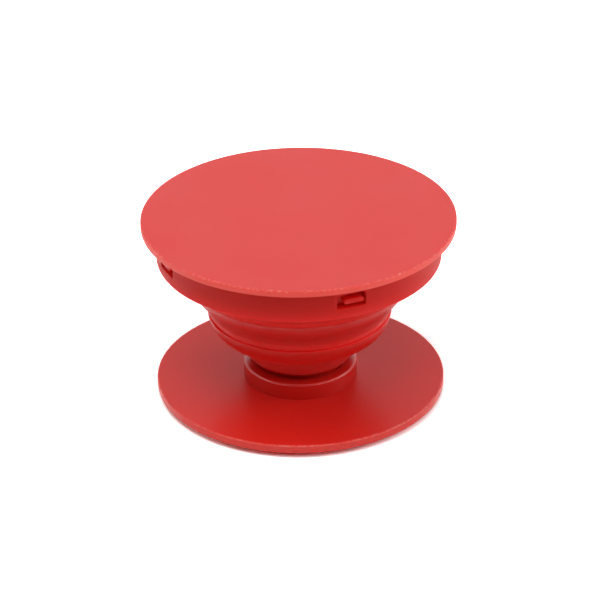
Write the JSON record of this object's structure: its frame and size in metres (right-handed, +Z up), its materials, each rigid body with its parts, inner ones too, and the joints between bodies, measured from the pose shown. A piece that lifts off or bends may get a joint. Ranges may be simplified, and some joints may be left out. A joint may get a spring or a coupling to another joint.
{
  "type": "collapsible phone grip",
  "caption": "Round stick-on phone grip: a flat cap on a folding bellows stem that presses flat into the cap's skirt and turns in a collar on an adhesive base.",
  "frame": {"origin": "centre of the adhesive pad's underside", "axes": "+Z up the stem towards the cap, -Y the side that the picture shows"},
  "size_m": [0.04, 0.04, 0.0245],
  "materials": {
    "cap_plastic": "fine matte moulded red",
    "bellows_plastic": "smooth satin soft plastic, red",
    "plug_plastic": "satin moulded red",
    "base_plastic": "satin moulded red",
    "pad_gel": "soft adhesive gel, off-white and dull"
  },
  "bodies": {
    "base": {"base_plate": "base_plastic", "adhesive_pad": "pad_gel"},
    "stem": {"bellows": "bellows_plastic", "foot_plug": "plug_plastic"},
    "cap": {"cap": "cap_plastic"}
  },
  "joints": [
    {"name": "swivel", "type": "hinge", "parent": "base", "child": "stem", "pos_m": [0, 0, 0.00185], "axis": [0, 0, 1], "continuous": true},
    {"name": "collapse", "type": "slide", "parent": "stem", "child": "cap", "axis": [0, 0, -1], "range_m": [0, 0.017], "deforming": ["bellows"]}
  ]
}
